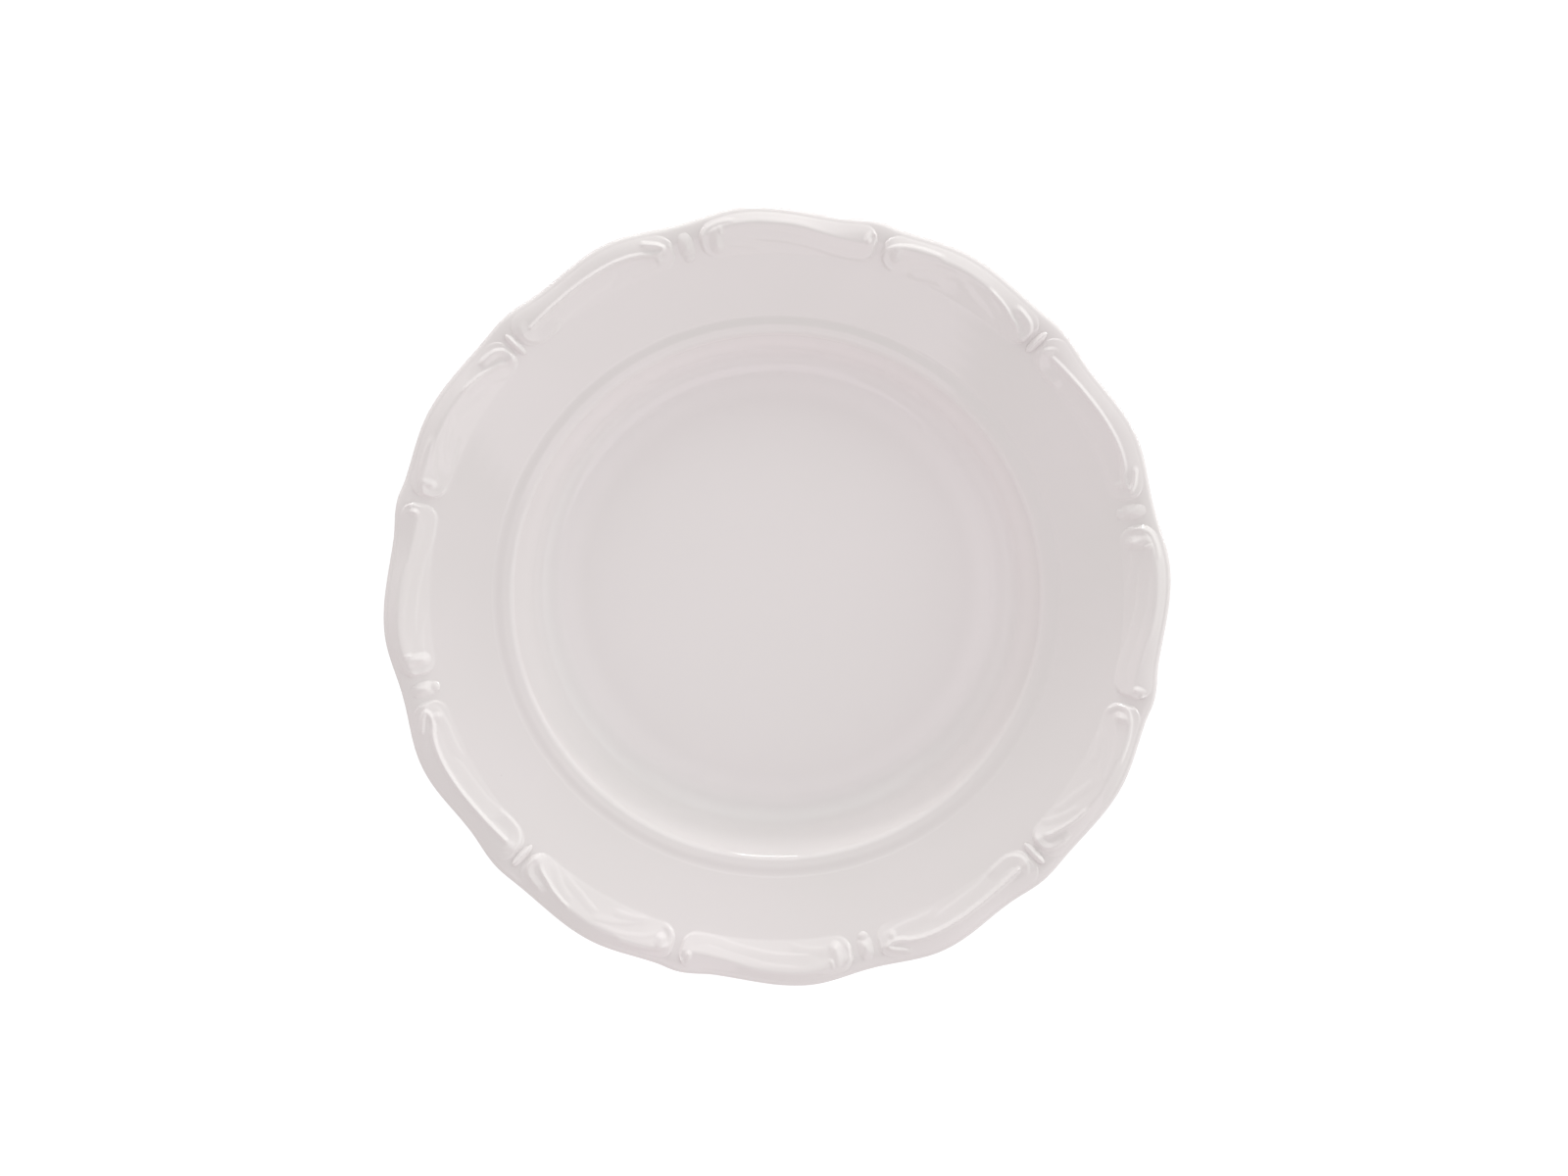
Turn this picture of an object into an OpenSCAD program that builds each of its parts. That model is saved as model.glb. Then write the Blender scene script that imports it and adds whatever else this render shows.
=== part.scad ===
// Rimmed soup plate in glazed porcelain, with a scalloped edge and a border of scrolls in low relief.
// Millimetres, +Z up. The origin is the centre of the face that the foot ring rests on.
// The border repeats four times round the plate: three scrolls, a petal and a slim bead in each quarter.

/* [Well] */
// Diameter of the flat floor
floor_d = 133; // [80:1:180]
// Width of the wall as seen from above, from the floor to the mouth of the well
wall_w = 14.8; // [12:0.1:20]
// Depth of the well below its mouth
well_depth = 20; // [16:0.5:26]
// Radius of the turn from the floor up into the wall
floor_round = 10; // [4:0.5:12]
// Thickness of the floor
floor_t = 4.6; // [3:0.1:6]
// Thickness of the wall
wall_t = 4.2; // [3:0.1:6]

/* [Shoulder] */
// Radius of the rounded mouth
mouth_round = 2; // [1:0.1:2.6]
// Height of the bead line that rings the mouth, above the rim
bead_h = 0.55; // [0.2:0.05:1]
// Depth of the groove outside the bead line, below the rim
groove_h = 0.2; // [0.05:0.05:0.4]
// Half the width of that groove
groove_w = 2.6; // [1.5:0.1:4]
// Radius of the hollow under the shoulder
under_round = 8; // [3:0.5:10]

/* [Rim] */
// Width of the rim, from the mouth of the well to the middle line of the scalloped edge
rim_w = 38.7; // [30:0.1:60]
// Rise of the rim over that width
rim_rise = 10; // [6:0.5:14]
// Thickness of the rim at the mouth of the well
flange_t = 4; // [3:0.1:5]
// Thickness of the rim at its edge
edge_t = 3.2; // [2:0.1:4]
// Width of the relief border, from its plain side to the edge
border_w = 14; // [10:0.5:18]
// Width of the rounded lip outside the relief
lip_w = 2.2; // [1.6:0.1:3]
// How far the lobes stand out from the middle line of the edge
lobe_depth = 1.1; // [0.4:0.1:2]

/* [Scrolls] */
// Height of a scroll's crest above the rim
crest_h = 1.1; // [0.5:0.05:1.8]
// Height of the fine ridges on a scroll
ridge_h = 0.35; // [0.1:0.05:0.7]
// Half the width of a fine ridge
ridge_w = 1.3; // [0.8:0.1:2]
// Height of the knob that a scroll curls round
knob_h = 0.5; // [0.2:0.05:0.9]
// Radius of that knob
knob_r = 2; // [1:0.1:3]
// Length over which a scroll's end rounds off
scroll_end_l = 6; // [3:0.5:9]

/* [Petals and beads] */
// Length of the petal between two scrolls, along the radius
petal_l = 8; // [5:0.5:9]
// Width of that petal
petal_w = 4.6; // [2:0.1:6]
// Height of that petal above the rim
petal_h = 1; // [0.4:0.05:1.5]
// Length of the slim bead between two scrolls, along the radius
bead_l = 7; // [4:0.5:9]
// Width of that bead
bead_w = 2.4; // [1.2:0.1:3]
// Height of that bead above the rim
slim_bead_h = 0.8; // [0.3:0.05:1.2]

/* [Foot ring] */
// Height of the foot ring
foot_h = 3.5; // [2:0.1:6]
// Width of the foot ring at its root
foot_w = 4.5; // [3:0.1:7]
// Width of the bare face that it rests on
foot_face_w = 2.4; // [1.2:0.1:2.8]
// Radius of the two edges beside that face
foot_round = 0.5; // [0.2:0.1:0.8]
// Distance from the edge of the floor in to the foot ring
foot_inset = 2; // [1:0.5:8]

/* [Hidden] */
QUARTERS = [1 : 4];
function numbered(name) = [for (i = QUARTERS) str(name, "_", i)];
$fn = 120;
glaze = [0.93, 0.91, 0.91];
biscuit = [0.9, 0.87, 0.83];
// Points on a round stretch of a section, steps round the edge, and points on the lip's round nose
arc_points = 8;
edge_steps = 240;
nose_points = 6;
// Stations along a scroll and across it, and rings and spokes of a petal
scroll_steps = 32;
scroll_rows = 10;
dome_rings = 5;
dome_spokes = 16;

// The edge of one quarter: angle, and how far out it lies as a share of lobe_depth
quarter = 90;
edge_shares = [[-9, -1.04], [4.5, 0.75], [14.5, -1.04], [25.5, 0.88], [37, -1.04], [44, 0.11],
    [49, -0.33], [61, 0.96], [71.5, -0.43], [75, 0.1], [81, -1.04]];
// A scroll's crest, and its lines: angle, and place across the border as a share of its width
crest_a_shares = [[-15.2, 0.53], [-12, 0.63], [-8, 0.67], [8, 0.67], [11.3, 0.5]];
crest_b_shares = [[16.3, 0.5], [20, 0.6], [25, 0.66], [30, 0.61], [35, 0.53], [40, 0.47], [44.3, 0.45]];
crest_c_shares = [[46.2, 0.35], [49, 0.42], [53, 0.55], [57, 0.65], [64, 0.67], [70, 0.53], [73.2, 0.45]];
ridges_a_shares = [[[-14.4, 0.5], [-14, 0.27], [-12.5, 0.15], [-8, 0.12], [0, 0.17], [9, 0.19]]];
ridges_b_shares = [[[18, 0.3], [20, 0.2], [32, 0.19], [39, 0.15]],
    [[41.5, 0.61], [43.4, 0.42], [41.5, 0.19]]];
ridges_c_shares = [[[47.5, 0.57], [46.8, 0.4], [47.2, 0.22]], [[47.5, 0.2], [50, 0.4], [54, 0.54]],
    [[50.5, 0.1], [53, 0.27], [57, 0.38]]];
knob_a_share = [9, 0.5];
knob_b_share = [18.2, 0.55];
knob_c_share = [71, 0.42];
// Where a scroll's ends, the petals and the slim beads lie across the border
scroll_mid_share = 0.46;
petal_share = [14.2, 0.42];
slim_bead_share = [45.2, 0.47];
// Clear strip at a scroll's inner side, and the part of the lip that is rounded
scroll_margin_share = 0.04;
nose_share = 0.7;

floor_r = floor_d / 2;
mouth_r = floor_r + wall_w;
plate_r = mouth_r + rim_w;
floor_z = foot_h + floor_t;
mouth_z = floor_z + well_depth;
border_r = plate_r - border_w;
foot_out_r = floor_r - foot_inset;
foot_in_r = foot_out_r - foot_w;

// The rim's two faces are cones, so each is a straight line in the section
rim_slope = rim_rise / rim_w;
under_slope = rim_slope + (flange_t - edge_t) / rim_w;
function rim_z(r) = mouth_z + rim_slope * (r - mouth_r);
function under_z(r) = mouth_z - flange_t + under_slope * (r - mouth_r);

function ease(u) = (1 - cos(180 * max(0, min(1, u)))) / 2;
function mix(a, b, u) = a + (b - a) * u;
function polar(r, a) = [r * cos(a), r * sin(a)];
function along(a) = [cos(a), sin(a)];
function arc(c, r, from, to) = [for (i = [0 : arc_points]) c + r * along(mix(from, to, i / arc_points))];
// The value of a table of [place, value] rows at a place, easing from row to row
function row_at(x, table, i = 0) = i >= len(table) - 2 || x < table[i + 1][0] ? i : row_at(x, table, i + 1);
function eased(x, table) = let (i = row_at(x, table), a = table[i], b = table[i + 1])
    mix(a[1], b[1], ease((x - a[0]) / (b[0] - a[0])));

// The wall runs from the floor's fillet to the mouth, touching the fillet
fillet_c = [floor_r, floor_z + floor_round];
to_mouth = [mouth_r, mouth_z] - fillet_c;
fillet_turn = atan2(to_mouth.y, to_mouth.x) - acos(floor_round / norm(to_mouth));
wall_turn = fillet_turn + 90;
wall_run = along(wall_turn);
wall_back = fillet_c + (floor_round + wall_t) * along(fillet_turn);

// The rounded mouth touches the wall, and ends on the bead line with the slope of the rim
rim_turn = atan(rim_slope);
mouth_shift = (bead_h - mouth_round * (cos(rim_turn) - cos(wall_turn)
    - rim_slope * (sin(wall_turn) - sin(rim_turn)))) / (sin(wall_turn) - rim_slope * cos(wall_turn));
wall_top = [mouth_r, mouth_z] + mouth_shift * wall_run;
mouth_c = wall_top + mouth_round * along(fillet_turn);
bead_r = mouth_c.x - mouth_round * sin(rim_turn);
shoulder_r = bead_r + 2 * groove_w;

// The back of the wall turns into the underside of the rim through a hollow
back_run = (under_z(wall_back.x) - wall_back.y) / (wall_run.y - under_slope * wall_run.x);
back_corner = wall_back + back_run * wall_run;
under_turn = atan(under_slope);
hollow_reach = under_round * tan((wall_turn - under_turn) / 2);
hollow_in = back_corner - hollow_reach * wall_run;
hollow_out = back_corner + hollow_reach * along(under_turn);
hollow_c = hollow_in + under_round * along(fillet_turn);

function groove_z(r) = rim_z(r) + (r < bead_r + groove_w
    ? mix(bead_h, -groove_h, ease((r - bead_r) / groove_w))
    : mix(-groove_h, 0, ease((r - bead_r - groove_w) / groove_w)));

module well_floor() {
    color(glaze) rotate_extrude() polygon([[0, foot_h], [foot_in_r, foot_h],
        [foot_out_r, floor_z - wall_t], [floor_r, floor_z - wall_t], [floor_r, floor_z], [0, floor_z]]);
}

module well_turn() {
    color(glaze) rotate_extrude() polygon(concat(
        arc(fillet_c, floor_round, -90, fillet_turn),
        arc(fillet_c, floor_round + wall_t, fillet_turn, -90)));
}

module well_wall() {
    wall_foot = fillet_c + floor_round * along(fillet_turn);
    color(glaze) rotate_extrude() polygon([wall_foot, wall_top, hollow_in, wall_back]);
}

module shoulder() {
    groove = [for (i = [1 : 2 * arc_points]) let (r = mix(bead_r, shoulder_r, i / (2 * arc_points)))
        [r, groove_z(r)]];
    color(glaze) rotate_extrude() polygon(concat(
        arc(mouth_c, mouth_round, wall_turn + 90, rim_turn + 90), groove,
        arc(hollow_c, under_round, under_turn + 90, wall_turn + 90)));
}

module rim_flange() {
    color(glaze) rotate_extrude() polygon([hollow_out, [shoulder_r, rim_z(shoulder_r)],
        [border_r, rim_z(border_r)], [border_r, under_z(border_r)]]);
}

function edge_r(a) = let (turned = a - quarter * floor((a - edge_shares[0][0]) / quarter))
    plate_r + lobe_depth * eased(turned, edge_shares);
edge_angles = [for (i = [0 : edge_steps - 1]) i * 360 / edge_steps];

// The border's outer side is cut to the scallops, a lip's width inside the edge
module rim_border() {
    reach = plate_r + 2 * lobe_depth;
    color(glaze) intersection() {
        rotate_extrude() polygon([[border_r, under_z(border_r)], [reach, under_z(reach)],
            [reach, rim_z(reach)], [border_r, rim_z(border_r)]]);
        linear_extrude(rim_z(reach)) polygon([for (a = edge_angles) polar(edge_r(a) - lip_w, a)]);
    }
}

// Section of the lip at one angle, as [radius, height], from its inner side round its nose
function lip_section(a) = let (out = edge_r(a), in = out - lip_w, nose = nose_share * lip_w,
        centre = out - nose, half = (rim_z(centre) - under_z(centre)) / 2, middle = under_z(centre) + half)
    concat([[in, under_z(in)], [in, rim_z(in)]],
        [for (i = [0 : nose_points]) let (turn = 90 - 180 * i / nose_points)
            [centre + nose * cos(turn), middle + half * sin(turn)]]);

module edge_lip() {
    sections = [for (a = edge_angles) lip_section(a)];
    size = len(sections[0]);
    points = [for (i = [0 : edge_steps - 1]) for (p = sections[i])
        [p.x * cos(edge_angles[i]), p.x * sin(edge_angles[i]), p.y]];
    faces = [for (i = [0 : edge_steps - 1]) for (j = [0 : size - 1])
        let (next = (i + 1) % edge_steps, up = (j + 1) % size,
            a = i * size + j, b = next * size + j, c = next * size + up, d = i * size + up)
        each [[a, b, c], [a, c, d]]];
    color(glaze) polyhedron(points, faces);
}

module foot_ring() {
    middle = foot_in_r + foot_w / 2;
    half = foot_face_w / 2;
    lean = atan2(foot_w / 2 - half, foot_h);
    reach = foot_round * tan((90 - lean) / 2);
    outer_c = [middle + half - reach, foot_round];
    inner_c = [middle - half + reach, foot_round];
    color(biscuit) rotate_extrude() polygon(concat([[foot_in_r, foot_h]],
        arc(inner_c, foot_round, 180 + lean, 270), arc(outer_c, foot_round, 270, 360 - lean),
        [[foot_out_r, floor_z - wall_t]]));
}

// A spot on the border, given as [angle, share of the border's width]
function spot(place) = polar(border_r + border_w * place[1], place[0]);

// How far a point is from a line of spots, and the height that a ridge or a knob has there
function leg_gap(p, a, b) = let (d = b - a, u = max(0, min(1, (p - a) * d / (d * d)))) norm(p - a - u * d);
function line_gap(p, line) = min([for (i = [0 : len(line) - 2]) leg_gap(p, line[i], line[i + 1])]);
function bump(u) = u < 1 ? pow(1 - u * u, 2) : 0;
function ridge_height(p, lines) = ridge_h * max([for (line = lines) bump(line_gap(p, line) / ridge_w)]);
function knob_height(p, knob) = knob_h * bump(norm(p - knob) / knob_r);

// One scroll is a rounded island on the rim's cone. It swells to its crest, and carries ridges and a knob.
module scroll(crest, ridges, knob, i) {
    start = crest[0][0];
    end = crest[len(crest) - 1][0];
    lines = [for (ridge = ridges) [for (place = ridge) spot(place)]];
    knob_spot = spot(knob);
    end_turn = scroll_end_l / plate_r * 180 / PI;
    middle_r = border_r + scroll_mid_share * border_w;
    inner_r = border_r + scroll_margin_share * border_w;
    angles = [for (k = [0 : scroll_steps]) mix(start, end, ease(k / scroll_steps))];
    function swell(a) = let (e = min(1, min(a - start, end - a) / end_turn)) sqrt(max(0, e * (2 - e)));
    function low_r(a) = mix(middle_r, inner_r, swell(a));
    function high_r(a) = mix(middle_r, edge_r(a) - lip_w, swell(a));
    function top(a, v) = let (low = low_r(a), high = high_r(a), r = mix(low, high, v),
            peak = (border_r + border_w * eased(a, crest) - low) / (high - low),
            rise = v < peak ? ease(v / peak) : ease((1 - v) / (1 - peak)), p = polar(r, a))
        [p.x, p.y, rim_z(r) + swell(a) * (crest_h * rise
            + ease(4 * v) * ease(4 - 4 * v) * (ridge_height(p, lines) + knob_height(p, knob_spot)))];
    function flat_end(a) = let (p = polar(middle_r, a)) [p.x, p.y, rim_z(middle_r)];
    points = concat([flat_end(start)],
        [for (k = [1 : scroll_steps - 1]) for (j = [0 : scroll_rows]) top(angles[k], j / scroll_rows)],
        [flat_end(end)]);
    last = len(points) - 1;
    row = scroll_rows + 1;
    first_of_last = last - row;
    faces = concat(
        [for (j = [0 : scroll_rows - 1]) [0, j + 1, j + 2]],
        [for (j = [0 : scroll_rows - 1]) [last, first_of_last + j + 1, first_of_last + j]],
        [for (k = [0 : scroll_steps - 3]) for (j = [0 : scroll_rows - 1])
            let (a = k * row + j + 1, b = a + row) each [[a, b + 1, a + 1], [a, b, b + 1]]],
        [for (k = [0 : scroll_steps - 3])
            let (a = k * row + 1, b = a + row, c = b + scroll_rows, d = a + scroll_rows)
            each [[a, c, b], [a, d, c]]],
        [[0, row, 1], [last, first_of_last, last - 1]]);
    color(glaze) rotate(quarter * (i - 1)) polyhedron(points, faces);
}

module scroll_a(i) scroll(crest_a_shares, ridges_a_shares, knob_a_share, i);
module scroll_b(i) scroll(crest_b_shares, ridges_b_shares, knob_b_share, i);
module scroll_c(i) scroll(crest_c_shares, ridges_c_shares, knob_c_share, i);

// A low oval dome on the rim's cone, its length along the radius
module dome(place, l, w, h, i) {
    centre = spot(place);
    out = along(place[0]);
    side = along(place[0] + 90);
    function at(u, turn) = let (p = centre + u * (l / 2 * cos(turn) * out + w / 2 * sin(turn) * side))
        [p.x, p.y, rim_z(norm(p)) + h * (1 - u * u)];
    points = concat([at(0, 0)], [for (k = [1 : dome_rings]) for (j = [0 : dome_spokes - 1])
        at(k / dome_rings, 360 * j / dome_spokes)]);
    rim = 1 + (dome_rings - 1) * dome_spokes;
    faces = concat(
        [for (j = [0 : dome_spokes - 1]) [0, 1 + (j + 1) % dome_spokes, 1 + j]],
        [for (k = [0 : dome_rings - 2]) for (j = [0 : dome_spokes - 1])
            let (a = 1 + k * dome_spokes + j, b = 1 + k * dome_spokes + (j + 1) % dome_spokes)
            each [[a, b, b + dome_spokes], [a, b + dome_spokes, a + dome_spokes]]],
        [for (j = [1 : dome_spokes - 2]) [rim, rim + j, rim + j + 1]]);
    color(glaze) rotate(quarter * (i - 1)) polyhedron(points, faces);
}

module petal(i) dome(petal_share, petal_l, petal_w, petal_h, i);
module slim_bead(i) dome(slim_bead_share, bead_l, bead_w, slim_bead_h, i);

well_floor();
well_turn();
well_wall();
shoulder();
rim_flange();
rim_border();
edge_lip();
foot_ring();
for (i = QUARTERS) scroll_a(i);
for (i = QUARTERS) scroll_b(i);
for (i = QUARTERS) scroll_c(i);
for (i = QUARTERS) petal(i);
for (i = QUARTERS) slim_bead(i);
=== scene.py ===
"""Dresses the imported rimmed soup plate: glazed porcelain, scalloped edge, scrolls in low relief.

Sizes are in millimetres inside the classes and become metres when a vertex is placed. Angles run
in degrees round the plate from +X. Each zone of the plate is a piece of its own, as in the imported
model. The studio's sizes and those of the finishes are in metres throughout.
"""

import logging
import math
from abc import ABC, abstractmethod
from dataclasses import dataclass
from enum import Enum
from typing import Callable

import bpy
import numpy as np
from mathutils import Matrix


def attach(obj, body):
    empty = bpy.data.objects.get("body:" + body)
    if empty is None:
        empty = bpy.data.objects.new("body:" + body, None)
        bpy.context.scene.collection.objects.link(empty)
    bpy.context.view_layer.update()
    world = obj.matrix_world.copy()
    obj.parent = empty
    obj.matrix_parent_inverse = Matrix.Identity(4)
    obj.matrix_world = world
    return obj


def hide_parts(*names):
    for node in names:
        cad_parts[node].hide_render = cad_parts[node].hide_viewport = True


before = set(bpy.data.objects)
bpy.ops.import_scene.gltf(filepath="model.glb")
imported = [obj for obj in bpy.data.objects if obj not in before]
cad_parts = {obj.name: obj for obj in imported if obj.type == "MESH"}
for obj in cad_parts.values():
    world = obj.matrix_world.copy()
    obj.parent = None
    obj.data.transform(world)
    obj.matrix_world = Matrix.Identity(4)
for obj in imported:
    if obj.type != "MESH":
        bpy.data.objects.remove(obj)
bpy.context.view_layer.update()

log = logging.getLogger("soup_plate")

MM = 0.001
BODY = "root"
SPIN_STEPS = 720
WELD = 1e-6
SMOOTH_ANGLE = math.radians(40)
QUARTERS = 4
QUARTER_TURN = 360 / QUARTERS
# A short straight stretch at each seam gives both neighbours the same shading there
SEAM_GUARD = 0.03

Point = tuple[float, float]
Span = tuple[float, float]
Section = list[Point]
Places = tuple[Point, ...]
Colour = tuple[float, float, float]
Array = np.ndarray
Pair = tuple[Array, Array]
Piece = bpy.types.Object
Material = bpy.types.Material
Tree = bpy.types.NodeTree
Socket = bpy.types.NodeSocket
Feed = float | tuple[float, ...] | Socket


class Slot(Enum):
    """Material slots of the record."""

    GLAZE = "glaze"
    BISCUIT = "biscuit"


class Curve(Enum):
    """How a value crosses a span in a material."""

    STRAIGHT = "LINEAR"
    EASED = "SMOOTHSTEP"


def ease(share: Array) -> Array:
    """Eases from 0 to 1 with flat ends."""
    return (1 - np.cos(np.pi * np.clip(share, 0, 1))) / 2


def bump(share: Array) -> Array:
    """A bell that is 1 at 0 and falls smoothly to 0 at 1."""
    return np.clip(1 - share**2, 0, None) ** 2


def tent(share: Array) -> Array:
    """Straight-sided ridge with a narrow round top: 1 at 0, and 0 from 1 on."""
    blunt = 0.12
    return np.clip(1 + blunt - np.hypot(share, blunt), 0, 1)


def eased_table(place: Array, table: Places) -> Array:
    """Reads a table of (place, value) rows, easing from row to row.

    Args:
        place: Places to read at.
        table: Rows in rising order of place.

    Returns:
        The value at each place.
    """
    places = np.array([row[0] for row in table])
    values = np.array([row[1] for row in table])
    row = np.clip(np.searchsorted(places, place, side="right") - 1, 0, len(table) - 2)
    share = (place - places[row]) / (places[row + 1] - places[row])
    return values[row] + (values[row + 1] - values[row]) * ease(share)


def smooth_table(place: Array, table: Places) -> Array:
    """Reads a table of (place, value) rows along a smooth curve through them.

    Args:
        place: Places to read at.
        table: Rows in rising order of place.

    Returns:
        The value at each place.
    """
    places = np.array([row[0] for row in table])
    values = np.array([row[1] for row in table])
    slopes = np.gradient(values, places)
    row = np.clip(np.searchsorted(places, place, side="right") - 1, 0, len(table) - 2)
    gap = places[row + 1] - places[row]
    t = np.clip((place - places[row]) / gap, 0, 1)
    return (
        (2 * t**3 - 3 * t**2 + 1) * values[row]
        + (t**3 - 2 * t**2 + t) * gap * slopes[row]
        + (3 * t**2 - 2 * t**3) * values[row + 1]
        + (t**3 - t**2) * gap * slopes[row + 1]
    )


def arc(centre: Point, radius: float, start: float, end: float, steps: int) -> Section:
    """Points on a round stretch of a section.

    Args:
        centre: Middle of the arc, as (radius, height).
        radius: Radius of the arc.
        start: Angle at its first point, in degrees.
        end: Angle at its last point, in degrees.
        steps: Number of straight steps along it.

    Returns:
        The points, as (radius, height).
    """
    turns = np.radians(np.linspace(start, end, steps + 1))
    return [(centre[0] + radius * math.cos(t), centre[1] + radius * math.sin(t)) for t in turns]


def conic(start: Array, corner: Array, end: Array, steps: int) -> list[Array]:
    """Points on a quarter of an oval that touches both sides of a corner.

    Args:
        start: First point, as [radius or height, angle].
        corner: Where the tangents at both ends meet.
        end: Last point.
        steps: Number of straight steps along it.

    Returns:
        The points in order.
    """
    points = []
    for t in np.linspace(0, 1, steps + 1):
        first, middle, last = (1 - t) ** 2, math.sqrt(2) * t * (1 - t), t**2
        points.append((first * start + middle * corner + last * end) / (first + middle + last))
    return points


def guarded(start: Point, end: Point) -> Section:
    """A straight stretch of a section with a short step at both of its seams.

    Args:
        start: First point, as (radius, height).
        end: Last point, as (radius, height).

    Returns:
        Four points from start to end.
    """
    run = (end[0] - start[0], end[1] - start[1])
    share = SEAM_GUARD / math.hypot(*run)
    return [(start[0] + run[0] * s, start[1] + run[1] * s) for s in (0, share, 1 - share, 1)]


def ahead(point: Point, turn: float, length: float = SEAM_GUARD) -> Point:
    """A point at a length from another, by default at a guard's length from a seam.

    Args:
        point: The other point, as (radius, height).
        turn: Direction from it, in degrees.
        length: Length in that direction.

    Returns:
        The point, as (radius, height).
    """
    way = math.radians(turn)
    return (point[0] + length * math.cos(way), point[1] + length * math.sin(way))


def between_seams(points: Section, first_turn: float, last_turn: float) -> Section:
    """Adds a short straight step at both ends of a stretch of a section.

    Args:
        points: The stretch.
        first_turn: Direction of the section at its first point, in degrees.
        last_turn: Direction of the section at its last point.

    Returns:
        The stretch with both steps.
    """
    first, last = points[0], points[-1]
    return [first, ahead(first, first_turn), *points[1:-1], ahead(last, last_turn + 180), last]


def wrap_round(radius: Array, angle: Array, height: Array) -> Array:
    """Places in space of points at a radius, an angle in degrees and a height."""
    turn = np.radians(angle)
    return np.stack([radius * np.cos(turn), radius * np.sin(turn), height], 1)


def crowd(share: Array, crowding: float) -> Array:
    """Draws even steps from 0 to 1 closer together towards both ends."""
    return (1 - crowding) * share + crowding * ease(share)


def quarter_round(share: Array) -> Array:
    """Rises from 0 to 1 along a quarter of a circle."""
    return np.sqrt(share * (2 - share))


def soften(heights: Array, passes: int) -> Array:
    """Rounds a grid of heights a little, as glaze does when it fills a carved line.

    Args:
        heights: Heights on a grid.
        passes: How many times each point moves towards its neighbours.

    Returns:
        The softened heights, with the outermost rows left as they are.
    """
    for _ in range(passes):
        middle = heights.copy()
        middle[1:-1, :] = (heights[:-2, :] + 2 * heights[1:-1, :] + heights[2:, :]) / 4
        heights = middle.copy()
        heights[:, 1:-1] = (middle[:, :-2] + 2 * middle[:, 1:-1] + middle[:, 2:]) / 4
    return heights


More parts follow.
